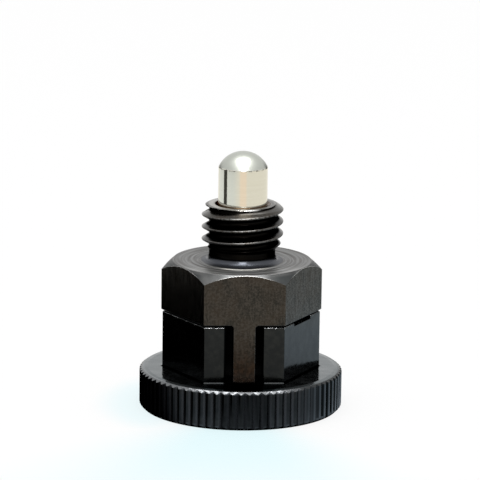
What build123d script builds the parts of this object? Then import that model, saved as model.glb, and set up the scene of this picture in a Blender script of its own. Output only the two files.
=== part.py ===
from build123d import *
import math
import os

# Indexing plunger with rest position.  Origin: centre of the hexagon's seat face.
# +Z runs out through the threaded nose to the tip of the locking pin; the knob is below.

os.makedirs("parts", exist_ok=True)

# ---- threaded nose (the thread's major diameter; its form is not cut here) ----
THREAD_D = 10.0
NOSE_LEN = 7.0
NOSE_CHAMFER = 0.6
NECK_D = 8.1
NECK_TOP = 1.5
NECK_FILLET = 0.9

# ---- body hexagon ----
HEX_AF = 17.0
HEX_LEN = 6.25
SEAT_D = 16.88
CHAMFER_SLOPE = 0.877
BLANK_ALLOWANCE = 1.0
HEX_EDGE = 0.1

# ---- rear of the body: round boss and two tongues in the knob's slot ----
TONGUE_W = 2.6
TONGUE_LEN = 7.15
TONGUE_END_D = 16.5
TONGUE_ROOT_FILLET = 0.25
BOSS_D = 9.6

# ---- bores of the body ----
GUIDE_CLEARANCE = 0.025
BORE_MOUTH = 0.35
SHANK_CLEARANCE = 0.05
REAR_WALL = 2.0

# ---- locking pin ----
PIN_D = 6.0
PIN_OUT = 4.55
DOME_R = 3.3
RELIEF_DEPTH = 0.2
RELIEF_LEN = 0.9
RELIEF_IN = 0.1
HEAD_BACK = 1.0
HEAD_BACK_CHAMFER = 0.3
SHANK_D = 4.0
TAIL_LEN = 3.6
TAIL_CHAMFER = 0.3

# ---- spring ----
WIRE_D = 0.6
SPRING_OD = 5.6
ACTIVE_COILS = 6
DEAD_COIL_GAP = 0.03
SECTIONS_PER_COIL = 18
WIRE_SIDES = 8

# ---- knob ----
DISC_D = 24.85
DISC_H = 4.8
RIM_BEVEL_W = 0.6
RIM_BEVEL_DROP = 0.07
RIM_EDGE_W = 0.38
RIM_EDGE_DROP = 0.26
RIM_BOTTOM_CHAMFER = 0.35
KNURL_TEETH = 78
KNURL_DEPTH = 0.3
KNURL_FLAT = 0.12
COLLAR_AF = 16.7
COLLAR_GAP = 0.15
COLLAR_EDGE = 0.12
COLLAR_FOOT_FILLET = 0.15
BOSS_CLEARANCE = 0.1
SLOT_W = 4.5
SLOT_MOUTH_R = 0.2
REST_NOTCH_DEPTH = 0.45
REST_TURN = 60

# ---- heights that follow from the above ----
BODY_END = -HEX_LEN - TONGUE_LEN
COLLAR_TOP = -HEX_LEN - COLLAR_GAP
KNOB_BASE = BODY_END - DISC_H
SPRING_SEAT = BODY_END + REAR_WALL
PIN_EDGE = NOSE_LEN + PIN_OUT
DOME_CENTRE = PIN_EDGE - math.sqrt(DOME_R**2 - (PIN_D / 2) ** 2)
PIN_TIP = DOME_CENTRE + DOME_R
HEX_CORNER_R = HEX_AF / math.sqrt(3)


# ---- body: threaded nose, hexagon, boss and tongues in one piece ----
def envelope_profile():
    """Half section of the turned blank that chamfers the hexagon and the tongue ends."""
    rim = HEX_CORNER_R + BLANK_ALLOWANCE
    seat_drop = (rim - SEAT_D / 2) * CHAMFER_SLOPE
    end_rise = (rim - TONGUE_END_D / 2) * CHAMFER_SLOPE
    return [
        (0, 0),
        (SEAT_D / 2, 0),
        (rim, -seat_drop),
        (rim, BODY_END + end_rise),
        (TONGUE_END_D / 2, BODY_END),
        (0, BODY_END),
    ]


def nose_profile():
    """Half section of the nose, with a root inside the hexagon."""
    thread_r = THREAD_D / 2
    neck_r = NECK_D / 2
    return [
        (0, -HEX_LEN / 2),
        (SEAT_D / 2 - NECK_FILLET, -HEX_LEN / 2),
        (SEAT_D / 2 - NECK_FILLET, 0),
        (neck_r, 0),
        (neck_r, NECK_TOP),
        (thread_r, NECK_TOP + thread_r - neck_r),
        (thread_r, NOSE_LEN - NOSE_CHAMFER),
        (thread_r - NOSE_CHAMFER, NOSE_LEN),
        (0, NOSE_LEN),
    ]


def bore_profile():
    """Half section of the stepped bore: guide bore open to the nose, shank hole to the rear."""
    guide_r = PIN_D / 2 + GUIDE_CLEARANCE
    shank_r = SHANK_D / 2 + SHANK_CLEARANCE
    return [
        (0, NOSE_LEN),
        (guide_r + BORE_MOUTH, NOSE_LEN),
        (guide_r, NOSE_LEN - BORE_MOUTH),
        (guide_r, SPRING_SEAT),
        (shank_r, SPRING_SEAT),
        (shank_r, BODY_END),
        (0, BODY_END),
    ]


with BuildPart() as housing:
    with BuildSketch(Plane.XY.offset(-HEX_LEN)):
        RegularPolygon(HEX_AF / 2, 6, major_radius=False)
    extrude(amount=HEX_LEN)
    chamfer(housing.faces().sort_by(Axis.Z)[0].edges(), HEX_EDGE)
    with BuildSketch(Plane.XZ.offset(-HEX_AF / 2)):
        with Locations((0, -HEX_LEN - TONGUE_LEN / 2)):
            Rectangle(TONGUE_W, TONGUE_LEN)
        with Locations((0, -HEX_LEN)):
            Rectangle(TONGUE_W + 2 * TONGUE_ROOT_FILLET, 2 * TONGUE_ROOT_FILLET)
        for side in (-1, 1):
            root_x = side * (TONGUE_W / 2 + TONGUE_ROOT_FILLET)
            with Locations((root_x, -HEX_LEN - TONGUE_ROOT_FILLET)):
                Circle(TONGUE_ROOT_FILLET, mode=Mode.SUBTRACT)
    extrude(amount=HEX_AF)
    with BuildSketch(Plane.XZ):
        with BuildLine():
            Polyline(*envelope_profile(), close=True)
        make_face()
    revolve(axis=Axis.Z, mode=Mode.INTERSECT)
    with BuildSketch(Plane.XY.offset(BODY_END)):
        Circle(BOSS_D / 2)
    extrude(amount=TONGUE_LEN)
    with BuildSketch(Plane.XZ) as nose_section:
        with BuildLine():
            Polyline(*nose_profile(), close=True)
        make_face()
        neck_root = nose_section.vertices().sort_by_distance((NECK_D / 2, 0, 0))[0]
        fillet(neck_root, NECK_FILLET)
    revolve(axis=Axis.Z)
    with BuildSketch(Plane.XZ):
        with BuildLine():
            Polyline(*bore_profile(), close=True)
        make_face()
    revolve(axis=Axis.Z, mode=Mode.SUBTRACT)


# ---- locking pin: domed locking end, guided head, shank through the spring into the knob ----
def pin_profile():
    """Half section of the pin below the dome, with a relief between locking end and head."""
    head_r = PIN_D / 2
    shank_r = SHANK_D / 2
    relief_top = NOSE_LEN - RELIEF_IN
    tail_end = BODY_END - TAIL_LEN
    return [
        (head_r, PIN_EDGE),
        (head_r, relief_top),
        (head_r - RELIEF_DEPTH, relief_top),
        (head_r - RELIEF_DEPTH, relief_top - RELIEF_LEN),
        (head_r, relief_top - RELIEF_LEN),
        (head_r, HEAD_BACK + HEAD_BACK_CHAMFER),
        (head_r - HEAD_BACK_CHAMFER, HEAD_BACK),
        (shank_r, HEAD_BACK),
        (shank_r, tail_end + TAIL_CHAMFER),
        (shank_r - TAIL_CHAMFER, tail_end),
        (0, tail_end),
        (0, PIN_TIP),
    ]


with BuildPart() as plunger_pin:
    with BuildSketch(Plane.XZ):
        with BuildLine():
            Polyline(*pin_profile())
            RadiusArc((0, PIN_TIP), (PIN_D / 2, PIN_EDGE), DOME_R)
        make_face()
    revolve(axis=Axis.Z)


# ---- compression spring between the pin's head and the body's rear wall ----
def wire_plane(step):
    """Plane across the wire, with one dead coil at each end of the active coils."""
    coil_r = (SPRING_OD - WIRE_D) / 2
    dead_pitch = WIRE_D + DEAD_COIL_GAP
    active_pitch = (HEAD_BACK - SPRING_SEAT - WIRE_D - 2 * dead_pitch) / ACTIVE_COILS
    turn = step / SECTIONS_PER_COIL
    active = min(max(turn - 1, 0), ACTIVE_COILS)
    height = SPRING_SEAT + WIRE_D / 2 + (turn - active) * dead_pitch + active * active_pitch
    angle = math.tau * turn
    outward = Vector(math.cos(angle), math.sin(angle), 0)
    along = Vector(-math.sin(angle), math.cos(angle), 0)
    return Plane(origin=outward * coil_r + Vector(0, 0, height), x_dir=outward, z_dir=along)


with BuildPart() as spring:
    for step in range((ACTIVE_COILS + 2) * SECTIONS_PER_COIL + 1):
        with BuildSketch(wire_plane(step)):
            RegularPolygon(WIRE_D / 2, WIRE_SIDES, major_radius=False, rotation=180 / WIRE_SIDES)
    loft(ruled=True)


# ---- knob: knurled disc and hexagon collar in one piece ----
def knurl_groove():
    """Vee between two crests of the straight knurl, seen from the middle of its mouth."""
    half_mouth = (math.pi * DISC_D / KNURL_TEETH - KNURL_FLAT) / 2
    return [
        (-KNURL_DEPTH, 0),
        (KNURL_DEPTH, -2 * half_mouth),
        (KNURL_DEPTH, 2 * half_mouth),
    ]


def rim_profile():
    """Half section of the disc: a flat bevel and a steeper one above, a chamfer below."""
    rim_r = DISC_D / 2
    bevel_foot = BODY_END - RIM_BEVEL_DROP
    return [
        (0, KNOB_BASE),
        (rim_r - RIM_BOTTOM_CHAMFER, KNOB_BASE),
        (rim_r, KNOB_BASE + RIM_BOTTOM_CHAMFER),
        (rim_r, bevel_foot - RIM_EDGE_DROP),
        (rim_r - RIM_EDGE_W, bevel_foot),
        (rim_r - RIM_EDGE_W - RIM_BEVEL_W, BODY_END),
        (0, BODY_END),
    ]


with BuildPart() as knob:
    with BuildSketch(Plane.XY.offset(KNOB_BASE)):
        Circle(DISC_D / 2)
        with PolarLocations(DISC_D / 2, KNURL_TEETH, start_angle=180 / KNURL_TEETH):
            Polygon(*knurl_groove(), align=None, mode=Mode.SUBTRACT)
    extrude(amount=DISC_H)
    with BuildSketch(Plane.XZ):
        with BuildLine():
            Polyline(*rim_profile(), close=True)
        make_face()
    revolve(axis=Axis.Z, mode=Mode.INTERSECT)
    with BuildSketch(Plane.XY.offset(BODY_END)):
        RegularPolygon(COLLAR_AF / 2, 6, major_radius=False)
    extrude(amount=COLLAR_TOP - BODY_END)
    top_edges = knob.faces().sort_by(Axis.Z)[-1].edges()
    chamfer(top_edges, COLLAR_EDGE)
    straight_edges = knob.edges().filter_by(GeomType.LINE)
    foot_edges = straight_edges.filter_by_position(Axis.Z, BODY_END, BODY_END)
    fillet(foot_edges, COLLAR_FOOT_FILLET)
    with BuildSketch(Plane.XY.offset(BODY_END)):
        Circle(BOSS_D / 2 + BOSS_CLEARANCE)
        Rectangle(SLOT_W, DISC_D)
        mouth_x = SLOT_W / 2 + SLOT_MOUTH_R
        mouth_y = COLLAR_AF / 2 - SLOT_MOUTH_R
        with GridLocations(0, 2 * mouth_y + DISC_D, 1, 2):
            Rectangle(2 * mouth_x, DISC_D)
        with GridLocations(2 * mouth_x, 2 * mouth_y, 2, 2):
            Circle(SLOT_MOUTH_R, mode=Mode.SUBTRACT)
    extrude(amount=COLLAR_TOP - BODY_END, mode=Mode.SUBTRACT)
    with BuildSketch(Plane.XY.offset(COLLAR_TOP - REST_NOTCH_DEPTH)):
        Rectangle(SLOT_W, DISC_D, rotation=REST_TURN)
    extrude(amount=REST_NOTCH_DEPTH, mode=Mode.SUBTRACT)
    with BuildSketch(Plane.XY.offset(BODY_END)):
        Circle(SHANK_D / 2)
    extrude(amount=-TAIL_LEN, mode=Mode.SUBTRACT)


housing.part.label = "housing"
plunger_pin.part.label = "plunger_pin"
spring.part.label = "spring"
knob.part.label = "knob"

export_step(housing.part, "parts/housing.step")
export_step(plunger_pin.part, "parts/plunger_pin.step")
export_step(spring.part, "parts/spring.step")
export_step(knob.part, "parts/knob.step")
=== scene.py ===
import math
from types import SimpleNamespace

import bmesh
import bpy
from mathutils import Matrix, Vector


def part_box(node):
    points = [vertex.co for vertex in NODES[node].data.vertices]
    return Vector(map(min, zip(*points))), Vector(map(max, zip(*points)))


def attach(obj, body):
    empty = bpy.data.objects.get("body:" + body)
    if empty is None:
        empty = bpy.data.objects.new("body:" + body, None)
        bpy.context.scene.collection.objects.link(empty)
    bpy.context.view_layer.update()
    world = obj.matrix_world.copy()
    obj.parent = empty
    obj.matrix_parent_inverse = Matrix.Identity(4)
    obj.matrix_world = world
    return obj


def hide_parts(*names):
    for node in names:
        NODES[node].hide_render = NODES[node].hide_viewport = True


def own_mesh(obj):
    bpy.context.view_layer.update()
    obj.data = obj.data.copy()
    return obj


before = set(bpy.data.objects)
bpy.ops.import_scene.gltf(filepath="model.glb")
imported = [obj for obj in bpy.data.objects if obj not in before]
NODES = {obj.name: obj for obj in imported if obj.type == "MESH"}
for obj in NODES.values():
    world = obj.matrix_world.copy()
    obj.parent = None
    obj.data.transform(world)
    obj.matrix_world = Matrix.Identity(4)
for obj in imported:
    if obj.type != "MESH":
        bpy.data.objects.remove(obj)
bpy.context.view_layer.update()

MM = 0.001

# ---- places in the solids and the pull's travel, in metres ----
FLOOR_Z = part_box("knob")[0].z
NOSE_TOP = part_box("housing")[1].z
SPRING_LOW, SPRING_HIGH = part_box("spring")

# Colours are linear. A pair of limits such as RUST_Z gives a mask's soft edge: the mask is 0 at the
# first value and 1 at the second. X, Y and Z in their names are millimetres in the frame, R is the
# distance from its axis, and UP is the share of the surface's normal along the axis, 1 on a level
# face. A pair named RANGE or ROUGHNESS holds what a ramp starts and ends with.
WHITE = (1, 1, 1, 1)
BLACK = (0, 0, 0, 1)


# ======================================================================
# camera
# ======================================================================
LENS_MM = 246.18
SENSOR_MM = 36
NEAR_CLIP = 10 * MM
FAR_CLIP = 20
CAMERA_DISTANCE = 400 * MM
CAMERA_RISE = math.radians(12.75)
CAMERA_ROLL = math.radians(0.733)
PART_TURN = math.radians(2.81)
AIM = Vector((-0.276, 0, 2.444)) * MM


def add_camera():
    """Camera in front of the part, which stands turned a little on its axis."""
    data = bpy.data.cameras.new("camera")
    data.sensor_width = SENSOR_MM
    data.lens = LENS_MM
    data.clip_start = NEAR_CLIP
    data.clip_end = FAR_CLIP
    camera = bpy.data.objects.new("camera", data)
    bpy.context.scene.collection.objects.link(camera)
    forward = Vector((0, math.cos(CAMERA_RISE), -math.sin(CAMERA_RISE)))
    up = Vector((0, math.sin(CAMERA_RISE), math.cos(CAMERA_RISE)))
    right = Vector((1, 0, 0))
    tilted_right = math.cos(CAMERA_ROLL) * right + math.sin(CAMERA_ROLL) * up
    tilted_up = -math.sin(CAMERA_ROLL) * right + math.cos(CAMERA_ROLL) * up
    turn = Matrix.Rotation(-PART_TURN, 4, "Z")
    axes = Matrix((tilted_right, tilted_up, -forward)).transposed().to_4x4()
    place = Matrix.Translation(AIM - CAMERA_DISTANCE * forward)
    camera.matrix_world = turn @ place @ axes
    bpy.context.scene.camera = camera


# ======================================================================
# threaded body
# ======================================================================
PITCH = 1.5 * MM
CREST_R = 4.98 * MM
ROOT_R = 4.08 * MM
CREST_HALF = 0.08 * MM
CREST_ROUND = 0.05 * MM
FLANK_SLOPE = math.sqrt(3)
CREST_AT_LEFT = 4.168 * MM
FIRST_CREST_MM = CREST_AT_LEFT / MM + 1.5 * PITCH / MM
NECK_R = 4.05 * MM
NECK_TOP = 1.5 * MM
NECK_FILLET = 0.9 * MM
FILLET_STEPS = 10
MAJOR_R = 5.0 * MM
CHAMFER_FROM = NOSE_TOP - 0.6 * MM
NOSE_EDGE = 0.1 * MM
THREAD_LOW = 1.2 * MM
COLUMNS = 180
ROWS_PER_PITCH = 30
# Radius and height, in millimetres, across the seat and its two tool marks.
SEAT_STEPS = (
    (8.30, 0), (6.52, 0), (6.38, -0.05), (6.26, 0),
    (5.80, 0), (5.52, -0.13), (5.46, -0.13), (5.22, 0), (5.05, 0),
)
MOUTH_R = 3.375 * MM
MOUTH_STEP = 0.2 * MM
MOUTH_LOW = 6.65 * MM
BORE_R = 3.025 * MM
SAME_PLACE = 0.0005 * MM
CUT_SLACK = 0.005 * MM
SEAT_GAP = (-0.01 * MM, 0.01 * MM)
MOUTH_GAP = (6.5 * MM, 6.9 * MM)


def soft_max(a, b, blend):
    return (a + b + math.hypot(a - b, blend)) / 2


def nose_radius(angle, z):
    """Radius of the threaded nose, cut back by the neck's cone, the end chamfer and its edge."""
    crest_z = CREST_AT_LEFT + PITCH * (angle - math.pi) / math.tau
    turns = (z - crest_z) / PITCH
    off_crest = abs(turns - round(turns)) * PITCH
    fall = soft_max(0, (off_crest - CREST_HALF) * FLANK_SLOPE, CREST_ROUND)
    thread = soft_max(ROOT_R, CREST_R - fall, CREST_ROUND)
    neck = NECK_R + max(0, z - NECK_TOP)
    chamfer = MAJOR_R - max(0, z - CHAMFER_FROM)
    return min(thread, neck, chamfer) - max(0, z - (NOSE_TOP - NOSE_EDGE))


def nose_rows():
    """Rows of points round the nose, which climb with the thread and stop at its two ends."""
    low_turn = math.floor((THREAD_LOW - CREST_AT_LEFT) / PITCH) - 1
    high_turn = math.ceil((NOSE_TOP - CREST_AT_LEFT) / PITCH) + 1
    rows = []
    for step in range((high_turn - low_turn) * ROWS_PER_PITCH + 1):
        row = []
        for column in range(COLUMNS + 1):
            angle = math.tau * column / COLUMNS
            turn = low_turn + step / ROWS_PER_PITCH + (angle - math.pi) / math.tau
            z = min(max(CREST_AT_LEFT + PITCH * turn, THREAD_LOW), NOSE_TOP)
            row.append((nose_radius(angle, z), angle, z))
        rows.append(row)
    end = rows[-1]
    for radius, z in ((MOUTH_R, NOSE_TOP), (MOUTH_R - MOUTH_STEP, NOSE_TOP - MOUTH_STEP)):
        rows.append([(radius, angle, z) for _, angle, _ in end])
    return rows


def seat_rows():
    """Rows from the hexagon's seat, with its two tool marks, up the fillet to the neck."""
    profile = [(r * MM, z * MM) for r, z in SEAT_STEPS]
    for step in range(FILLET_STEPS + 1):
        tilt = math.pi / 2 * step / FILLET_STEPS
        radius = NECK_R + NECK_FILLET * (1 - math.sin(tilt))
        profile.append((radius, NECK_FILLET * (1 - math.cos(tilt))))
    angles = [math.tau * column / COLUMNS for column in range(COLUMNS + 1)]
    return [[(r, angle, z) for angle in angles] for r, z in profile]


def open_edges(mesh, low, high):
    """Boundary edges whose points lie between two heights."""
    return [
        edge
        for edge in mesh.edges
        if edge.is_boundary and all(low < v.co.z < high for v in edge.verts)
    ]


def add_rings(mesh, rows):
    """Strip of faces through rows of (radius, angle, z) points that each go once round."""
    grid = [[mesh.verts.new((r * math.cos(a), r * math.sin(a), z)) for r, a, z in row] for row in rows]
    for low_row, high_row in zip(grid, grid[1:]):
        for i in range(COLUMNS):
            mesh.faces.new((low_row[i], low_row[i + 1], high_row[i + 1], high_row[i]))
    bmesh.ops.remove_doubles(mesh, verts=[v for row in grid for v in row], dist=SAME_PLACE)


def cut_plain_nose(mesh):
    """Removes the seat and the plain nose above it, down to the bore's mouth."""
    spare = []
    for face in mesh.faces:
        middle = face.calc_center_median()
        outside = middle.xy.length > BORE_R + CUT_SLACK and middle.z > -CUT_SLACK
        if outside or middle.z > MOUTH_LOW + CUT_SLACK:
            spare.append(face)
    bmesh.ops.delete(mesh, geom=spare, context="FACES")


def threaded_body():
    """Body made from the solid's own mesh, with its seat and nose remade with the thread."""
    mesh = bmesh.new()
    mesh.from_mesh(NODES["housing"].data)
    bmesh.ops.remove_doubles(mesh, verts=mesh.verts, dist=SAME_PLACE)
    cut_plain_nose(mesh)
    add_rings(mesh, seat_rows() + nose_rows())
    for low, high in (SEAT_GAP, MOUTH_GAP):
        bmesh.ops.bridge_loops(mesh, edges=open_edges(mesh, low, high))
    bmesh.ops.recalc_face_normals(mesh, faces=mesh.faces)
    data = bpy.data.meshes.new("threaded_body")
    mesh.to_mesh(data)
    mesh.free()
    if "custom_normal" in data.attributes:
        data.attributes.remove(data.attributes["custom_normal"])
    return data


# ======================================================================
# coil spring
# ======================================================================
WIRE_R = 0.3 * MM
COILS = 8
COIL_STEPS = 48
WIRE_STEPS = 14
DEAD_PITCH = 0.63 * MM


def spring_coil():
    """Round wire in a closed-end coil between the body's rear wall and the pin's head."""
    coil_r = SPRING_HIGH.x - WIRE_R
    active_height = SPRING_HIGH.z - SPRING_LOW.z - 2 * WIRE_R - 2 * DEAD_PITCH
    active_pitch = active_height / (COILS - 2)
    mesh = bmesh.new()
    rings = []
    for step in range(COILS * COIL_STEPS + 1):
        turn = step / COIL_STEPS
        active = min(max(turn - 1, 0), COILS - 2)
        height = SPRING_LOW.z + WIRE_R + (turn - active) * DEAD_PITCH + active * active_pitch
        out = Vector((math.cos(math.tau * turn), math.sin(math.tau * turn), 0))
        ring = []
        for side in range(WIRE_STEPS):
            tilt = math.tau * side / WIRE_STEPS
            reach = coil_r + WIRE_R * math.cos(tilt)
            rise = Vector((0, 0, height + WIRE_R * math.sin(tilt)))
            ring.append(mesh.verts.new(out * reach + rise))
        rings.append(ring)
    for near, far in zip(rings, rings[1:]):
        for side in range(WIRE_STEPS):
            after = (side + 1) % WIRE_STEPS
            mesh.faces.new((near[side], near[after], far[after], far[side]))
    mesh.faces.new(rings[0])
    mesh.faces.new(rings[-1])
    bmesh.ops.recalc_face_normals(mesh, faces=mesh.faces)
    data = bpy.data.meshes.new("coil_spring")
    mesh.to_mesh(data)
    mesh.free()
    return data


# ======================================================================
# node helpers
# ======================================================================
BEVEL_SAMPLES = 6
EDGE_DOT = (0.995, 0.90)
QUARTER_TURN = 0.25


class Shader:
    """Node tree of a material or a world, with short calls for the nodes used here."""

    def __init__(self, owner):
        owner.use_nodes = True
        self.owner = owner
        self.tree = owner.node_tree
        self.tree.nodes.clear()

    def node(self, kind, **inputs):
        """New node, with its inputs given by socket name, or _ for each space in it."""
        made = self.tree.nodes.new(kind)
        for key, value in inputs.items():
            self.put(made, key.replace("_", " "), value)
        return made

    def put(self, node, key, value):
        """Links or sets one input, by its name or number."""
        socket = node.inputs[int(key) if key.isdigit() else key]
        if isinstance(value, bpy.types.NodeSocket):
            self.tree.links.new(value, socket)
        else:
            socket.default_value = value

    def math(self, operation, a, b=0.0):
        made = self.tree.nodes.new("ShaderNodeMath")
        made.operation = operation
        self.put(made, "0", a)
        self.put(made, "1", b)
        return made.outputs[0]

    def times(self, first, *factors):
        for factor in factors:
            first = self.math("MULTIPLY", first, factor)
        return first

    def plus(self, a, b):
        return self.math("ADD", a, b)

    def minus(self, a, b):
        return self.math("SUBTRACT", a, b)

    def over(self, a, b):
        return self.math("DIVIDE", a, b)

    def either(self, a, b):
        return self.math("MAXIMUM", a, b)

    def plain(self, value):
        """The value without its sign."""
        return self.math("ABSOLUTE", value)

    def ramp(self, value, low, high, start=0.0, end=1.0):
        """Smooth step from start to end as value goes from low to high."""
        made = self.tree.nodes.new("ShaderNodeMapRange")
        made.interpolation_type = "SMOOTHSTEP"
        keys = ("Value", "From Min", "From Max", "To Min", "To Max")
        for key, item in zip(keys, (value, low, high, start, end)):
            self.put(made, key, item)
        return made.outputs[0]

    def band(self, value, one_edge, other_edge):
        """1 between two soft edges and 0 outside them."""
        return self.times(self.ramp(value, *one_edge), self.ramp(value, *other_edge))

    def mix(self, share, a, b):
        """Colour a, or colour b where share is 1."""
        made = self.tree.nodes.new("ShaderNodeMix")
        made.data_type = "RGBA"
        self.put(made, "0", share)
        self.put(made, "6", a)
        self.put(made, "7", b)
        return made.outputs[2]

    def blend(self, share, a, b):
        """Shader a, or shader b where share is 1."""
        made = self.node("ShaderNodeMixShader", Fac=share)
        self.put(made, "1", a.outputs[0])
        self.put(made, "2", b.outputs[0])
        return made

    def noise(self, vector, scale, detail=2.0, roughness=0.5):
        settings = {"Scale": scale, "Detail": detail, "Roughness": roughness}
        return self.node("ShaderNodeTexNoise", Vector=vector, **settings).outputs[0]

    def vector(self, x, y, z):
        made = self.tree.nodes.new("ShaderNodeCombineXYZ")
        for key, item in zip("012", (x, y, z)):
            self.put(made, key, item)
        return made.outputs[0]

    def place(self):
        """Object coordinates in millimetres: x, y, z, distance from the axis and angle round it."""
        coordinates = self.tree.nodes.new("ShaderNodeTexCoord")
        scaled = self.tree.nodes.new("ShaderNodeVectorMath")
        scaled.operation = "SCALE"
        self.put(scaled, "Vector", coordinates.outputs["Object"])
        self.put(scaled, "Scale", 1 / MM)
        split = self.node("ShaderNodeSeparateXYZ", Vector=scaled.outputs[0])
        self.x, self.y, self.z = split.outputs
        squares = self.plus(self.math("POWER", self.x, 2.0), self.math("POWER", self.y, 2.0))
        self.radius = self.math("SQRT", squares)
        self.angle = self.math("ARCTAN2", self.y, self.x)
        self.where = scaled.outputs[0]
        facing = self.node("ShaderNodeSeparateXYZ", Vector=coordinates.outputs["Normal"])
        self.up = self.plain(facing.outputs[2])

    def turned(self, per_mm, round_share, detail=2.0):
        """Streaks that run round the axis without a seam, as a lathe tool leaves them."""
        across = self.times(self.minus(self.radius, self.z), per_mm)
        east = self.times(self.over(self.x, self.radius), round_share)
        north = self.times(self.over(self.y, self.radius), round_share)
        return self.noise(self.vector(across, east, north), 1.0, detail)

    def drawn(self, per_mm, length_share, detail=2.0):
        """Streaks that run along the axis, as on drawn or milled flats."""
        x = self.times(self.x, per_mm)
        y = self.times(self.y, per_mm)
        z = self.times(self.z, per_mm * length_share)
        return self.noise(self.vector(x, y, z), 1.0, detail)

    def rounded(self, width_mm):
        """Normal of the surface with its edges rounded by this width."""
        made = self.node("ShaderNodeBevel", Radius=width_mm * MM)
        made.samples = BEVEL_SAMPLES
        return made.outputs[0]

    def edge_share(self, width_mm):
        """1 on a convex or concave edge of this width, 0 on the open surface."""
        true_normal = self.tree.nodes.new("ShaderNodeNewGeometry").outputs["Normal"]
        together = self.tree.nodes.new("ShaderNodeVectorMath")
        together.operation = "DOT_PRODUCT"
        self.put(together, "0", self.rounded(width_mm))
        self.put(together, "1", true_normal)
        return self.ramp(together.outputs["Value"], *EDGE_DOT)

    def steel(self, colour, roughness, grain, depth_mm, edge_mm, round_cut=0.0, grazing=WHITE, metal=1.0):
        """Metal with its edges slightly rounded, its grain in the bump and round tool marks."""
        round_axis = self.tree.nodes.new("ShaderNodeTangent")
        round_axis.direction_type = "RADIAL"
        round_axis.axis = "Z"
        bump = self.node(
            "ShaderNodeBump",
            Strength=1.0,
            Distance=depth_mm * MM,
            Height=grain,
            Normal=self.rounded(edge_mm),
        )
        surface = self.node(
            "ShaderNodeBsdfPrincipled",
            Base_Color=colour,
            Roughness=roughness,
            Metallic=metal,
            Specular_Tint=grazing,
            Anisotropic=round_cut,
            Anisotropic_Rotation=QUARTER_TURN,
            Tangent=round_axis.outputs[0],
            Normal=bump.outputs[0],
        )
        return self.output(surface)

    def output(self, surface):
        """Ends the tree in this shader and gives the material back."""
        self.node("ShaderNodeOutputMaterial", Surface=surface.outputs[0])
        return self.owner


def new_shader(name):
    """Shader tree of a new material."""
    return Shader(bpy.data.materials.new(name))


# ======================================================================
# body's material
# ======================================================================
CLOUD_EDGE = (0.35, 0.65)
GRAIN_EDGE = (0.2, 0.8)
FLAT_UP = (0.3, 0.7)

BODY_BLACK = (0.027, 0.026, 0.023, 1)
BODY_BROWN = (0.042, 0.035, 0.028, 1)
BODY_SPECK = (0.062, 0.056, 0.049, 1)
SPECK_EDGE = (0.42, 0.60)
SPECK_GRAIN = 0.3

RUST_DARK = (0.017, 0.010, 0.006, 1)
RUST_LIGHT = (0.036, 0.020, 0.012, 1)
RUST_EDGE = (0.42, 0.62)
RUST_Z = (-6.5, -13.0)
RUST_SHARE = 0.85
MATT_Z = (-11.8, -13.0)
MATT_SHARE = 0.55

NOSE_Z = (0.25, 0.8)
END_Z = (6.5, 6.6)
END_UP = (0.8, 0.95)
FLANK_ABOVE_CREST = (0.0, 0.15)
FLANK_BELOW_TOP = (0.62, 0.5)
THREAD_INNER_R = (4.95, 4.65)
THREAD_SHADE = (0.005, 0.0045, 0.004, 1)
THREAD_CREST_R = (4.86, 4.96)

END_RING_EDGE = (0.42, 0.58)
END_DARK = (0.16, 0.156, 0.15, 1)
END_BARE = (0.40, 0.39, 0.37, 1)
END_DULL_X = (1.6, 3.0)
END_DULL_Y = (0.0, -1.5)
MOUTH_EDGE_R = (3.5, 3.38)
MOUTH_BROWN = (0.085, 0.058, 0.040, 1)

SEAT_R = (4.9, 5.1)
SEAT_BARE_Z = (-0.5, -0.2)
SEAT_STREAK_EDGE = (0.38, 0.62)
SEAT_STREAK_RANGE = (0.25, 1.0)
SEAT_FRONT_Y = (-3.5, -5.5)
SEAT_BARE = (0.185, 0.186, 0.183, 1)
SEAT_FRONT_HIGHLIGHT = (0.30, 0.30, 0.295, 1)
FILLET_R = (5.1, 4.9)
FILLET_Z = (0.85, 0.5)
FILLET_BLUE = (0.062, 0.066, 0.076, 1)
MARK_INNER_R = (5.15, 5.22)
MARK_OUTER_R = (5.56, 5.50)
MARK_FRONT_Y = (-3.2, -4.8)
MARK_FRONT_X = (3.4, 1.8)
MARK_RANGE = (0.1, 1.0)
MARK_HIGHLIGHT = (0.45, 0.44, 0.41, 1)

CROWN_R = (8.42, 8.5)
CROWN_Z = (-1.6, -1.4)
CROWN_FRONT_X = (3.4, 1.6)
CROWN_DARK = (0.058, 0.059, 0.059, 1)
CROWN_LIGHT = (0.082, 0.083, 0.082, 1)
CROWN_FRONT_HIGHLIGHT = (0.14, 0.142, 0.143, 1)
CROWN_SIDE_SHADE = (0.042, 0.045, 0.045, 1)
SIDE_SHADE_RIGHT_X = (2.0, 4.5)
SIDE_SHADE_LEFT_X = (-4.9, -5.6)
SIDE_SHADE_Z = (-0.15, -0.4)

BODY_CHIP_EDGE = (0.35, 0.6)
BODY_EDGE_MM = 0.12
WORN = (0.120, 0.119, 0.117, 1)
WORN_SHARE = 0.8
FIRST_CREST_NEAR = (0.3, 0.2)
FIRST_CREST_RIGHT_X = (3.4, 2.2)
FIRST_CREST_LEFT_X = (-4.2, -3.0)
TONGUE_END_Z = (-13.2, -13.3)
WORN_CREST_HIGHLIGHT = (0.15, 0.148, 0.142, 1)
NOSE_RIM_Z = (6.84, 6.89)
NOSE_RIM_R = (3.9, 4.0)
NOSE_RIM_UP = (0.97, 0.9)
NOSE_RIM_X = (2.2, 0.8)
ARC_Z = (-0.7, -0.35)
BARE_STEEL_HIGHLIGHT = (0.85, 0.84, 0.82, 1)
INNER_SHADE_Z = (-6.3, -6.4)
INNER_SHADE_R = (8.2, 8.05)
INNER_SHADE = (0.008, 0.008, 0.008, 1)

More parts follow.
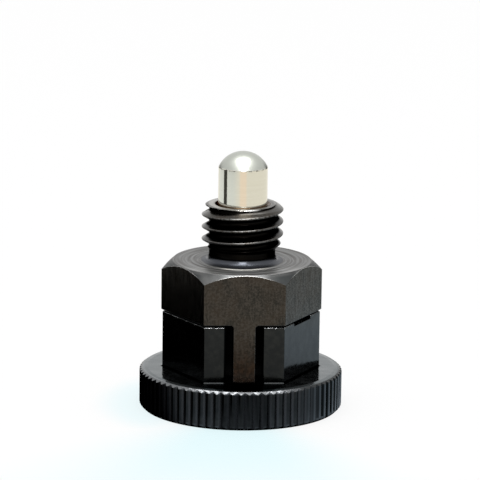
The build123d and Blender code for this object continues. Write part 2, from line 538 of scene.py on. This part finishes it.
BODY_ROUGHNESS = (0.15, 0.24)
TURNED_ROUGHER = 0.25
CREST_SMOOTHER = 0.06
FILLET_FOOT_Z = (0.3, 0.1)
FILLET_ROUGHNESS = (0.05, 0.25)
ROUND_CUT_Z = (-0.2, -0.1)
ROUND_CUT_SHARE = 0.22
SHADED_R = (4.7, 4.3)
GRAZING_DULL = (0.75, 0.75, 0.75, 1)
SHADE_GRAZING = (0.15, 0.15, 0.15, 1)
BODY_GRAIN_MM = 0.006
BODY_ROUND_MM = 0.08


def nose_zones(m):
    """Masks of the nose: its end face, its first crest and flank, all crests, and the thread's inside,
    where shade is painted.
    """
    nose = SimpleNamespace()
    nose.whole = m.ramp(m.z, *NOSE_Z)
    nose.end_face = m.times(m.ramp(m.z, *END_Z), m.ramp(m.up, *END_UP))
    nose.above_crest = m.minus(m.z, m.plus(m.times(m.angle, PITCH / MM / math.tau), FIRST_CREST_MM))
    first_flank = m.band(nose.above_crest, FLANK_ABOVE_CREST, FLANK_BELOW_TOP)
    kept_light = m.either(first_flank, nose.end_face)
    nose.deep = m.times(nose.whole, m.ramp(m.radius, *THREAD_INNER_R), m.minus(1.0, kept_light))
    nose.crest = m.times(nose.whole, m.ramp(m.radius, *THREAD_CREST_R))
    return nose


def paint_nose(m, colour, nose):
    """Painted shade, near black, in the thread and round the neck; turned end face and a brown mouth of
    the bore.
    """
    # Painted shade: near black in the thread's grooves and round the neck, where light is blocked.
    colour = m.mix(nose.deep, colour, THREAD_SHADE)
    rings = m.ramp(m.turned(per_mm=3.6, round_share=0.5, detail=3.0), *END_RING_EDGE)
    front_right = m.times(m.ramp(m.x, *END_DULL_X), m.ramp(m.y, *END_DULL_Y))
    rings = m.times(rings, m.minus(1.0, front_right))
    colour = m.mix(nose.end_face, colour, m.mix(rings, END_DARK, END_BARE))
    mouth = m.times(m.ramp(m.z, *END_Z), m.ramp(m.radius, *MOUTH_EDGE_R))
    return m.mix(mouth, colour, MOUTH_BROWN)


def paint_seat(m, colour, seat, fillet):
    """Bare turned streaks on the seat, lighter in front as a painted highlight, a bluish fillet, and a
    tool mark with a painted highlight in front.
    """
    streaks = m.turned(per_mm=3.0, round_share=1.0, detail=3.0)
    streaks = m.ramp(streaks, *SEAT_STREAK_EDGE, *SEAT_STREAK_RANGE)
    bare = m.times(seat, streaks, m.ramp(m.z, *SEAT_BARE_Z))
    # Painted highlight: the seat's streaks lighter towards the front.
    colour = m.mix(bare, colour, m.mix(m.ramp(m.y, *SEAT_FRONT_Y), SEAT_BARE, SEAT_FRONT_HIGHLIGHT))
    colour = m.mix(fillet, colour, FILLET_BLUE)
    # Painted highlight on the tool mark, only in front.
    mark = m.times(m.band(m.radius, MARK_INNER_R, MARK_OUTER_R), seat)
    in_front = m.ramp(m.plain(m.x), *MARK_FRONT_X, *MARK_RANGE)
    in_front = m.times(m.ramp(m.y, *MARK_FRONT_Y), in_front)
    return m.mix(m.times(mark, in_front), colour, MARK_HIGHLIGHT)


def paint_crown(m, colour, flat, cloud):
    """Chamfer of the hexagon round the seat: clouded, with a painted highlight in front and painted shade
    to the sides.
    """
    crown = m.times(flat, m.ramp(m.radius, *CROWN_R), m.ramp(m.z, *CROWN_Z))
    tone = m.mix(m.ramp(cloud, *CLOUD_EDGE), CROWN_DARK, CROWN_LIGHT)
    # Lighter in front as a painted highlight, darker to the sides as painted shade.
    tone = m.mix(m.ramp(m.plain(m.x), *CROWN_FRONT_X), tone, CROWN_FRONT_HIGHLIGHT)
    beside = m.either(m.ramp(m.x, *SIDE_SHADE_RIGHT_X), m.ramp(m.x, *SIDE_SHADE_LEFT_X))
    tone = m.mix(m.times(beside, m.ramp(m.z, *SIDE_SHADE_Z)), tone, CROWN_SIDE_SHADE)
    return m.mix(crown, colour, tone)


def paint_body_wear_and_highlights(m, colour, nose):
    """Worn edges and crests, with painted highlights on the first crest's front and the nose's rim in
    front, and near white wear and painted highlight on the arcs' edges.
    """
    chips = m.ramp(m.noise(m.where, scale=3.0, detail=3.0), *BODY_CHIP_EDGE)
    edge = m.edge_share(BODY_EDGE_MM)
    below = m.minus(1.0, nose.whole)
    worn = m.times(m.either(m.times(edge, below), nose.crest), chips)
    colour = m.mix(m.times(worn, WORN_SHARE), colour, WORN)
    # Painted highlight: the first crest lighter in front; the tongue's end edge is worn.
    first_crest_highlight = m.times(
        nose.crest,
        m.ramp(m.plain(nose.above_crest), *FIRST_CREST_NEAR),
        m.band(m.x, FIRST_CREST_RIGHT_X, FIRST_CREST_LEFT_X),
    )
    tongue_end = m.times(edge, m.ramp(m.z, *TONGUE_END_Z))
    colour = m.mix(m.times(m.either(first_crest_highlight, tongue_end), chips), colour, WORN_CREST_HIGHLIGHT)
    # Painted highlight: near white on the front of the nose's rim, and worn steel brightened to a
    # highlight on the arcs' edges.
    nose_rim_highlight = m.times(
        m.ramp(m.z, *NOSE_RIM_Z),
        m.ramp(m.radius, *NOSE_RIM_R),
        m.ramp(m.up, *NOSE_RIM_UP),
        m.ramp(m.plain(m.x), *NOSE_RIM_X),
    )
    arcs = m.times(edge, m.ramp(m.z, *ARC_Z), m.ramp(m.radius, *CROWN_R), below)
    return m.mix(m.either(nose_rim_highlight, arcs), colour, BARE_STEEL_HIGHLIGHT)


def blackened_steel():
    """Body: burnished black steel with a brown cast, near black as painted shade in the thread and inside
    the collar, with worn edges and painted highlights.
    """
    m = new_shader("blackened_steel")
    m.place()
    flat = m.ramp(m.up, *FLAT_UP)
    turned = m.turned(per_mm=5.0, round_share=1.2, detail=3.0)
    drawn = m.drawn(per_mm=4.0, length_share=0.12, detail=3.0)
    grain = m.plus(m.times(turned, flat), m.times(drawn, m.minus(1.0, flat)))
    cloud = m.noise(m.where, scale=0.5, detail=4.0)
    tone = m.mix(m.ramp(cloud, *CLOUD_EDGE), BODY_BLACK, BODY_BROWN)
    fine = m.noise(m.where, scale=5.0, detail=4.0, roughness=0.7)
    specks = m.plus(m.times(fine, 1 - SPECK_GRAIN), m.times(grain, SPECK_GRAIN))
    specks = m.ramp(specks, *SPECK_EDGE)
    colour = m.mix(specks, tone, BODY_SPECK)

    blotches = m.ramp(m.noise(m.where, scale=2.5, detail=4.0), *RUST_EDGE)
    rust = m.mix(blotches, RUST_DARK, RUST_LIGHT)
    colour = m.mix(m.times(m.ramp(m.z, *RUST_Z), RUST_SHARE), colour, rust)
    matt = m.times(m.ramp(m.z, *MATT_Z), MATT_SHARE)

    nose = nose_zones(m)
    seat = m.times(flat, m.ramp(m.radius, *SEAT_R))
    fillet = m.times(m.ramp(m.z, *FILLET_Z), m.ramp(m.radius, *FILLET_R))
    colour = paint_nose(m, colour, nose)
    colour = paint_seat(m, colour, seat, fillet)
    colour = paint_crown(m, colour, flat, cloud)
    colour = paint_body_wear_and_highlights(m, colour, nose)
    # Painted shade: near black on the body's parts inside the knob's collar.
    inner_shade = m.times(m.ramp(m.z, *INNER_SHADE_Z), m.ramp(m.radius, *INNER_SHADE_R))
    colour = m.mix(inner_shade, colour, INNER_SHADE)

    roughness = m.ramp(grain, *GRAIN_EDGE, *BODY_ROUGHNESS)
    roughness = m.plus(roughness, m.times(m.either(seat, nose.end_face), TURNED_ROUGHER))
    roughness = m.minus(roughness, m.times(nose.crest, CREST_SMOOTHER))
    roughness = m.plus(roughness, m.times(fillet, m.ramp(m.z, *FILLET_FOOT_Z, *FILLET_ROUGHNESS)))
    round_cut = m.times(seat, m.ramp(m.z, *ROUND_CUT_Z), ROUND_CUT_SHARE)
    shaded = m.times(nose.deep, m.ramp(m.radius, *SHADED_R))
    grazing = m.mix(m.either(specks, flat), GRAZING_DULL, WHITE)
    # Painted shade in reflections: the grazing reflection dimmed in the thread and inside the collar.
    grazing = m.mix(m.either(shaded, inner_shade), grazing, SHADE_GRAZING)
    metal = m.minus(1.0, matt)
    return m.steel(colour, roughness, grain, BODY_GRAIN_MM, BODY_ROUND_MM, round_cut, grazing, metal)


# ======================================================================
# knob's material
# ======================================================================
KNOB_CLOUD_EDGE = (0.35, 0.7)
KNOB_DARK = (0.022, 0.024, 0.025, 1)
KNOB_LIGHT = (0.029, 0.031, 0.031, 1)
KNOB_EDGE_MM = 0.1
KNOB_CHIP_EDGE = (0.40, 0.62)

WALL_UP = (0.2, 0.1)
KNURL_R = (11.9, 12.0)
KNURL_GROOVE_R = (12.32, 12.22)
LIT_GROOVE_R = (12.40, 12.30)
LIT_SIDE_X = (6.0, 10.0)
LEFT_SIDE_SHADE_X = (-7.0, -10.5)
LIT_SIDE = (0.075, 0.084, 0.090, 1)
LIT_SIDE_GROOVE_SHADE = (0.004, 0.005, 0.005, 1)
FRONT_GROOVE = (0.048, 0.051, 0.055, 1)
LEFT_SIDE_SHADE = (0.010, 0.010, 0.012, 1)

LOWER_EDGE_FROM_Z = (-17.65, -17.75)
LOWER_EDGE_TO_Z = (-18.0, -17.9)
LOWER_EDGE_CLOUD = (0.4, 0.6)
LOWER_EDGE = (0.055, 0.060, 0.064, 1)
DISC_TOP_UP = (0.9, 0.97)
DISC_TOP_Z = (-13.2, -13.3)
DISC_TOP_REFLECTION = (0.052, 0.068, 0.074, 1)

RIM_R = (11.75, 11.95)
RIM_Z = (-13.85, -13.7)
RIM_HIGHLIGHT_X = (9.0, 5.0)
RIM_HIGHLIGHT_RANGE = (0.15, 1.0)
RIM_LEAST = 0.3
RIM_RIGHT_X = (7.5, 4.5)
RIM_RIGHT_RANGE = (0.1, 1.0)
RIM_WEAR_HIGHLIGHT = (0.40, 0.415, 0.43, 1)
COLLAR_RIM_Z = (-6.75, -6.6)
COLLAR_CHIP_EDGE = (0.0, 0.4)
COLLAR_WORN = (0.55, 0.56, 0.57, 1)

FOOT_Z = (-13.1, -13.24)
FOOT_ACROSS = (8.58, 8.52)
FLAT_TURN = math.radians(60)
CORNER_ASIDE = (0.49, 0.52)
CORNER_RANGE = (0.5, 0.85)
AHEAD_X = (1.8, 1.5)
AHEAD_Y = (-8.0, -8.4)
AHEAD_R = (12.0, 11.8)
SLOT_LEFT_X = (-2.5, -2.42)
SLOT_RIGHT_X = (2.34, 2.28)
SLOT_Z = (-13.35, -13.25)
KNOB_SHADE = (0.004, 0.004, 0.004, 1)
KNOB_SHADE_GRAZING = (0.1, 0.1, 0.1, 1)

KNOB_ROUGHNESS = (0.08, 0.2)
GROOVE_ROUGHER = 0.3
RIM_ROUGHER = 0.16
KNOB_GRAIN_SHARE = 0.03
KNOB_WAVE_MM = 0.05
KNOB_ROUND_MM = 0.07


def knurl_zones(m):
    """Masks of the knurled wall: its right side with painted light and painted shade in its grooves, its
    left side with painted shade, and front grooves.
    """
    knurl = m.times(m.ramp(m.up, *WALL_UP), m.ramp(m.radius, *KNURL_R))
    zones = SimpleNamespace()
    zones.lit = m.times(knurl, m.ramp(m.x, *LIT_SIDE_X))
    zones.lit_groove = m.times(zones.lit, m.ramp(m.radius, *LIT_GROOVE_R))
    zones.front_groove = m.times(m.minus(knurl, zones.lit), m.ramp(m.radius, *KNURL_GROOVE_R))
    zones.dark = m.times(knurl, m.ramp(m.x, *LEFT_SIDE_SHADE_X))
    return zones


def paint_disc(m, colour, cloud, knurl):
    """Painted light on the knurl's right side and painted shade in its grooves, the disc's lower edge and
    a painted reflection on its top.
    """
    # Painted light: the knurl's right side lighter; its grooves there near black as painted shade.
    colour = m.mix(knurl.lit, colour, LIT_SIDE)
    colour = m.mix(knurl.lit_groove, colour, LIT_SIDE_GROOVE_SHADE)
    colour = m.mix(knurl.front_groove, colour, FRONT_GROOVE)
    lower_edge = m.band(m.z, LOWER_EDGE_FROM_Z, LOWER_EDGE_TO_Z)
    lower_edge = m.times(lower_edge, m.ramp(cloud, *LOWER_EDGE_CLOUD))
    colour = m.mix(lower_edge, colour, LOWER_EDGE)
    # Painted reflection: the disc's top lighter and cyan.
    top_reflection = m.times(m.ramp(m.up, *DISC_TOP_UP), m.ramp(m.z, *DISC_TOP_Z))
    return m.mix(top_reflection, colour, DISC_TOP_REFLECTION)


def paint_knob_wear_and_light(m, colour, rim, knurl):
    """Chipped rim of the disc with a painted highlight in front, painted shade on the knurl's left side,
    and the collar's worn edges.
    """
    chips = m.ramp(m.noise(m.where, scale=1.6, detail=3.0), *KNOB_CHIP_EDGE)
    # Painted highlight: the chipped rim brightest in front and dimmer to the right.
    wear_and_highlight = m.times(rim, chips, m.ramp(m.plain(m.x), *RIM_HIGHLIGHT_X, *RIM_HIGHLIGHT_RANGE))
    wear_and_highlight = m.either(wear_and_highlight, m.times(rim, RIM_LEAST))
    wear_and_highlight = m.times(wear_and_highlight, m.ramp(m.x, *RIM_RIGHT_X, *RIM_RIGHT_RANGE))
    colour = m.mix(wear_and_highlight, colour, RIM_WEAR_HIGHLIGHT)
    # Painted shade: the knurl's left side darker.
    colour = m.mix(knurl.dark, colour, LEFT_SIDE_SHADE)
    collar_rim = m.times(m.edge_share(KNOB_EDGE_MM), m.ramp(m.z, *COLLAR_RIM_Z))
    return m.mix(m.times(collar_rim, m.ramp(chips, *COLLAR_CHIP_EDGE)), colour, COLLAR_WORN)


def knob_painted_shade(m):
    """Mask of painted shade at the collar's foot, ahead of the tongue and inside the slot."""
    off_middle = m.plain(m.x)
    from_x = m.times(off_middle, math.sin(FLAT_TURN))
    from_y = m.times(m.plain(m.y), math.cos(FLAT_TURN))
    foot = m.times(m.ramp(m.z, *FOOT_Z), m.ramp(m.plus(from_x, from_y), *FOOT_ACROSS))
    aside = m.over(off_middle, m.radius)
    corner = m.times(foot, m.ramp(aside, *CORNER_ASIDE, *CORNER_RANGE))
    ahead = m.times(m.ramp(off_middle, *AHEAD_X), m.ramp(m.y, *AHEAD_Y), m.ramp(m.radius, *AHEAD_R))
    in_slot = m.times(m.band(m.x, SLOT_LEFT_X, SLOT_RIGHT_X), m.ramp(m.z, *SLOT_Z))
    return m.either(m.either(corner, ahead), in_slot)


def black_gloss():
    """Knob: black finish, almost a mirror, with a slight wave in its flats, worn edges, and painted light,
    shade and reflection.
    """
    m = new_shader("black_gloss")
    m.place()
    wave = m.noise(m.where, scale=0.4, detail=1.5)
    grain = m.drawn(per_mm=5.0, length_share=0.15)
    cloud = m.noise(m.where, scale=1.5, detail=3.0)
    knurl = knurl_zones(m)
    rim = m.times(m.ramp(m.radius, *RIM_R), m.ramp(m.z, *RIM_Z))
    painted_shade = knob_painted_shade(m)
    colour = m.mix(m.ramp(cloud, *KNOB_CLOUD_EDGE), KNOB_DARK, KNOB_LIGHT)
    colour = paint_disc(m, colour, cloud, knurl)
    colour = paint_knob_wear_and_light(m, colour, rim, knurl)
    # Painted shade: near black, with dimmed grazing reflection, at the collar's foot, ahead of the tongue
    # and in the slot.
    colour = m.mix(painted_shade, colour, KNOB_SHADE)
    grazing = m.mix(painted_shade, WHITE, KNOB_SHADE_GRAZING)
    roughness = m.ramp(grain, *GRAIN_EDGE, *KNOB_ROUGHNESS)
    roughness = m.plus(roughness, m.times(knurl.front_groove, GROOVE_ROUGHER))
    roughness = m.plus(roughness, m.times(rim, RIM_ROUGHER))
    height = m.plus(wave, m.times(grain, KNOB_GRAIN_SHARE))
    return m.steel(colour, roughness, height, KNOB_WAVE_MM, KNOB_ROUND_MM, grazing=grazing)


# ======================================================================
# pin's and spring's materials
# ======================================================================
PIN_EDGE_MM = 11.55
PIN_GROUND_EDGE = (0.3, 0.7)
PIN_DARK = (0.680, 0.662, 0.575, 1)
PIN_LIGHT = (0.705, 0.690, 0.600, 1)
DOME_GREY = (0.46, 0.475, 0.43, 1)
DOME_Z = (PIN_EDGE_MM, PIN_EDGE_MM + 0.15)
CREASE_NEAR = (0.12, 0.02)
CREASE_CHIP_EDGE = (0.52, 0.6)
CREASE_DARK = (0.10, 0.09, 0.08, 1)
PIN_ROUGHNESS = (0.07, 0.10)
DOME_ROUGHER = 0.25
PIN_GRAIN_MM = 0.0002
PIN_ROUND_MM = 0.05

WIRE_DARK = (0.42, 0.42, 0.42, 1)
WIRE_LIGHT = (0.60, 0.60, 0.59, 1)
WIRE_ROUGHNESS = (0.25, 0.4)
WIRE_GRAIN_MM = 0.002
WIRE_ROUND_MM = 0.02


def polished_steel():
    """Locking pin: bright ground cylinder, a satin dome and small chips at the crease between them."""
    m = new_shader("polished_steel")
    m.place()
    ground = m.turned(per_mm=7.0, round_share=0.3, detail=3.0)
    dome = m.ramp(m.z, *DOME_Z)
    colour = m.mix(m.ramp(ground, *PIN_GROUND_EDGE), PIN_DARK, PIN_LIGHT)
    colour = m.mix(dome, colour, DOME_GREY)
    crease = m.ramp(m.plain(m.minus(m.z, PIN_EDGE_MM)), *CREASE_NEAR)
    chips = m.ramp(m.noise(m.where, scale=5.0), *CREASE_CHIP_EDGE)
    colour = m.mix(m.times(crease, chips), colour, CREASE_DARK)
    roughness = m.plus(m.ramp(ground, *GRAIN_EDGE, *PIN_ROUGHNESS), m.times(dome, DOME_ROUGHER))
    return m.steel(colour, roughness, ground, PIN_GRAIN_MM, PIN_ROUND_MM)


def spring_steel():
    """Coil: bright wire with drawing marks."""
    m = new_shader("spring_steel")
    m.place()
    marks = m.turned(per_mm=12.0, round_share=1.0)
    colour = m.mix(marks, WIRE_DARK, WIRE_LIGHT)
    roughness = m.ramp(marks, *GRAIN_EDGE, *WIRE_ROUGHNESS)
    return m.steel(colour, roughness, marks, WIRE_GRAIN_MM, WIRE_ROUND_MM)


# ======================================================================
# pieces
# ======================================================================
SHARP_ANGLE = math.radians(28)


def smooth(data):
    """Smooth shading, with the real edges kept sharp."""
    data.shade_smooth()
    data.set_sharp_from_angle(angle=SHARP_ANGLE)


def dress(data, material):
    """Gives a mesh its one material."""
    data.materials.clear()
    data.materials.append(material)


def add_piece(name, data, material, body, node):
    """A piece that stands for a CAD node and moves with its body."""
    smooth(data)
    dress(data, material)
    piece = bpy.data.objects.new(name, data)
    bpy.context.scene.collection.objects.link(piece)
    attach(piece, body)
    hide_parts(node)
    return piece


# ======================================================================
# table
# ======================================================================
TABLE_HALF = 3.0
CLOTH = (0.8, 0.8, 0.8, 1)
CLEAR_SHARE = 0.975
SHADOW_REACH = 25 * MM
SHADOW_OPEN = (0.35, 1.0)
SHADOW_RANGE = (0.08, 0.0)

# LEFT, RIGHT, SIDE and BESIDE are limits of x / radius, and FRONT of y / radius.
NEAR_BASE_CYAN_SHADE = (0.80, 0.97, 1.0, 1)
GLOW_RIGHT = (0.6, 0.1)
GLOW_LEFT = (-0.85, -0.3)
GLOW_FRONT = (-0.4, -0.7)
GLOW_R = (14.0, 60.0)
GLOW_RANGE = (1.0, 0.15)
GLOW_END_R = (80.0, 45.0)
GLOW_BESIDE = (-0.5, -0.9)
GLOW_BESIDE_R = (19.0, 14.0)
GLOW_BESIDE_RANGE = (0.0, 0.6)

CONTACT_R = (12.3, 13.0)
CONTACT_LEVEL = 0.92
CONTACT_FADE_R = (14.0, 19.0)
CONTACT_FADE = 0.3
TABLE_R = (14.0, 70.0)
TABLE_LEVEL = 0.38
LEFT = (-0.3, -0.8)
RIGHT = (0.3, 0.8)
LIT_RING_FROM = (90.0, 100.0)
LIT_RING_TO = (165.0, 150.0)
RIGHT_RING_FROM = (50.0, 62.0)
RIGHT_RING_TO = (100.0, 90.0)
RIGHT_SHADE = 0.22

WARM = (1.0, 0.97, 0.90, 1)
COOL_NEAR = (0.86, 1.0, 1.10, 1)
COOL_FAR = (0.90, 1.0, 1.02, 1)
COOL_CHANGE_R = (40.0, 65.0)
COOL_SIDE = (0.15, 0.7)
COOL_END_R = (110.0, 90.0)
BLUE = (0.90, 1.0, 1.10, 1)
BLUE_R = (29.0, 25.0)
FAR_R = (100.0, 105.0)
LEFT_FAR = (0.93, 0.97, 0.98, 1)
PEACH = (1.12, 0.96, 0.82, 1)
PEACH_FRONT = (-0.88, -0.91)
PEACH_WIDTH = (0.29, 0.22)
PEACH_SHIFT = 0.02
WOBBLE_EDGE = (0.3, 0.7)
WOBBLE_RANGE = (-0.08, 0.08)


def table_to_eye(m, cloth):
    """The table for the camera: nearly clear before the white room, with a painted soft shadow from
    occlusion and a painted cyan shade near the base.
    """
    side = m.over(m.x, m.radius)
    front = m.over(m.y, m.radius)
    ahead = m.times(
        m.band(side, GLOW_RIGHT, GLOW_LEFT),
        m.ramp(front, *GLOW_FRONT),
        m.ramp(m.radius, *GLOW_R, *GLOW_RANGE),
        m.ramp(m.radius, *GLOW_END_R),
    )
    beside = m.times(m.ramp(side, *GLOW_BESIDE), m.ramp(m.radius, *GLOW_BESIDE_R, *GLOW_BESIDE_RANGE))
    tint = m.mix(m.either(ahead, beside), WHITE, NEAR_BASE_CYAN_SHADE)
    # Painted shadow: the table darkened where the part closes it in, and cyan shade near the base.
    openness = m.node("ShaderNodeAmbientOcclusion", Distance=SHADOW_REACH).outputs["AO"]
    tint = m.mix(m.ramp(openness, *SHADOW_OPEN, *SHADOW_RANGE), tint, BLACK)
    return m.blend(CLEAR_SHARE, cloth, m.node("ShaderNodeBsdfTransparent", Color=tint))


def table_level(m, side):
    """Brightness of the table in reflections: a painted contact shadow and rings round the part, with
    shades left and right.
    """
    # Painted contact shadow: the table dark in reflections at the part's foot.
    contact_shadow = m.minus(
        m.ramp(m.radius, *CONTACT_R, 0.0, CONTACT_LEVEL),
        m.ramp(m.radius, *CONTACT_FADE_R, 0.0, CONTACT_FADE),
    )
    distance = m.plus(contact_shadow, m.ramp(m.radius, *TABLE_R, 0.0, TABLE_LEVEL))
    lit_ring = m.band(m.radius, LIT_RING_FROM, LIT_RING_TO)
    left_shade = m.times(m.ramp(side, *LEFT), m.minus(1.0, lit_ring))
    right_ring = m.band(m.radius, RIGHT_RING_FROM, RIGHT_RING_TO)
    right_shade = m.times(m.ramp(side, *RIGHT), right_ring, RIGHT_SHADE)
    return m.times(distance, m.minus(1.0, m.plus(left_shade, right_shade)))


def table_hue(m, side, front):
    """Colour of the table in reflections: warm, with cool parts and a peach stripe far in front."""
    cool = m.mix(m.ramp(m.radius, *COOL_CHANGE_R), COOL_NEAR, COOL_FAR)
    cool_share = m.times(m.ramp(side, *COOL_SIDE), m.ramp(m.radius, *COOL_END_R))
    tint = m.mix(cool_share, WARM, cool)
    tint = m.mix(m.ramp(m.radius, *BLUE_R), tint, BLUE)
    far = m.ramp(m.radius, *FAR_R)
    tint = m.mix(m.times(far, m.ramp(side, *LEFT)), tint, LEFT_FAR)
    wobble = m.ramp(m.noise(m.where, scale=0.25, detail=3.0), *WOBBLE_EDGE, *WOBBLE_RANGE)
    off_stripe = m.plain(m.plus(m.plus(side, PEACH_SHIFT), wobble))
    stripe = m.times(far, m.ramp(front, *PEACH_FRONT), m.ramp(off_stripe, *PEACH_WIDTH))
    return m.mix(stripe, tint, PEACH)


def add_table():
    """White table that stays white in the picture, keeps a soft shadow, partly painted from occlusion, and
    shows a lowered knob.
    """
    data = bpy.data.meshes.new("table")
    ends = ((-1, -1), (1, -1), (1, 1), (-1, 1))
    data.from_pydata([(TABLE_HALF * x, TABLE_HALF * y, FLOOR_Z) for x, y in ends], [], [(0, 1, 2, 3)])
    table = bpy.data.objects.new("table", data)
    bpy.context.scene.collection.objects.link(table)
    m = new_shader("table_white")
    m.place()
    rays = m.node("ShaderNodeLightPath").outputs
    side = m.over(m.x, m.radius)
    front = m.over(m.y, m.radius)
    cloth = m.node("ShaderNodeBsdfDiffuse", Color=CLOTH)
    hue = table_hue(m, side, front)
    mirrored = m.node("ShaderNodeEmission", Color=hue, Strength=table_level(m, side))
    surface = m.blend(rays["Is Camera Ray"], cloth, table_to_eye(m, cloth))
    surface = m.blend(rays["Is Glossy Ray"], surface, mirrored)
    dress(data, m.output(surface))


# ======================================================================
# room, lamps and cards
# ======================================================================
OPEN_SKY_UP = (0.0, 0.05)
BACKDROP_BACK = (0.82, 0.92)
ROOM_DARKEST = 0.02
ROOM_LEVEL = 0.5

# Name, place, width and depth in metres, and radiance.
SOFTBOXES = (
    ("wide_softbox", (0, -0.05, 0.45), 0.8, 0.6, 0.3),
    ("bright_softbox", (0.0, -0.04, 0.44), 0.3, 0.26, 6.0),
    ("front_strip", (0.0, -0.28, 0.26), 0.12, 0.26, 9.0),
)

SLIT_AZIMUTH = math.radians(-91)
SLIT_DISTANCE = 60 * MM
SLIT_WIDTH = 22 * MM
SLIT_LOW = -9 * MM
SLIT_HIGH = 1 * MM
SLIT_DARK = (0.06, 0.06, 0.055, 1)

WALL_R = 200 * MM
WALL_TOP = 52 * MM
WALL_TURN = math.radians(152)
WALL_STEPS = 32
WALL_DARK = (0.02, 0.02, 0.02, 1)


def add_room():
    """White room: plain white to the camera; in reflections dark low down, except behind the part."""
    world = bpy.data.worlds.new("studio")
    bpy.context.scene.world = world
    m = Shader(world)
    rays = m.node("ShaderNodeLightPath").outputs
    direction = m.node("ShaderNodeTexCoord").outputs["Generated"]
    _, back, up = m.node("ShaderNodeSeparateXYZ", Vector=direction).outputs
    reflected = m.either(m.ramp(up, *OPEN_SKY_UP), m.ramp(back, *BACKDROP_BACK))
    reflected = m.either(reflected, ROOM_DARKEST)
    lit = m.plus(m.times(rays["Is Glossy Ray"], m.minus(reflected, ROOM_LEVEL)), ROOM_LEVEL)
    strength = m.either(rays["Is Camera Ray"], lit)
    background = m.node("ShaderNodeBackground", Color=WHITE, Strength=strength)
    m.node("ShaderNodeOutputWorld", Surface=background.outputs[0])


def add_softbox(name, place, width, depth, radiance):
    """Area light of a given brightness, turned to the part."""
    data = bpy.data.lights.new(name, "AREA")
    data.shape = "RECTANGLE"
    data.size = width
    data.size_y = depth
    data.energy = radiance * math.pi * width * depth
    light = bpy.data.objects.new(name, data)
    light.location = place
    light.rotation_mode = "QUATERNION"
    light.rotation_quaternion = (-light.location).to_track_quat("-Z", "Y")
    bpy.context.scene.collection.objects.link(light)


def add_reflected(name, corners, faces, colour):
    """A surface that shows only in reflections."""
    data = bpy.data.meshes.new(name)
    data.from_pydata(corners, [], faces)
    card = bpy.data.objects.new(name, data)
    bpy.context.scene.collection.objects.link(card)
    card.visible_camera = False
    card.visible_diffuse = False
    card.visible_shadow = False
    card.visible_transmission = False
    m = new_shader(name)
    dress(data, m.output(m.node("ShaderNodeEmission", Color=colour, Strength=1.0)))


def add_dark_slit():
    """Upright card to the left, turned to the part's axis, for the dark line down the pin."""
    out = Vector((math.sin(SLIT_AZIMUTH), -math.cos(SLIT_AZIMUTH), 0)) * SLIT_DISTANCE
    side = Vector((math.cos(SLIT_AZIMUTH), math.sin(SLIT_AZIMUTH), 0)) * SLIT_WIDTH / 2
    ends = ((-1, SLIT_LOW), (1, SLIT_LOW), (1, SLIT_HIGH), (-1, SLIT_HIGH))
    corners = [out + side * end + Vector((0, 0, z)) for end, z in ends]
    add_reflected("dark_slit", corners, [(0, 1, 2, 3)], SLIT_DARK)


def add_dark_wall():
    """Low dark wall to the left, right and front, which shows only in reflections."""
    angles = [WALL_TURN * (2 * step / WALL_STEPS - 1) for step in range(WALL_STEPS + 1)]
    foot = [(WALL_R * math.sin(a), -WALL_R * math.cos(a)) for a in angles]
    corners = [(x, y, z) for x, y in foot for z in (FLOOR_Z, WALL_TOP)]
    faces = [(2 * i, 2 * i + 2, 2 * i + 3, 2 * i + 1) for i in range(WALL_STEPS)]
    add_reflected("dark_wall", corners, faces, WALL_DARK)


# ======================================================================
# the scene
# ======================================================================
add_camera()
add_table()
add_room()
for softbox in SOFTBOXES:
    add_softbox(*softbox)
add_dark_slit()
add_dark_wall()

add_piece("threaded_body", threaded_body(), blackened_steel(), "body", "housing")
coil = add_piece("coil_spring", spring_coil(), spring_steel(), "coil", "spring")
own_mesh(coil)
dress(NODES["plunger_pin"].data, polished_steel())
dress(NODES["knob"].data, black_gloss())

bpy.context.scene.view_settings.view_transform = "Standard"
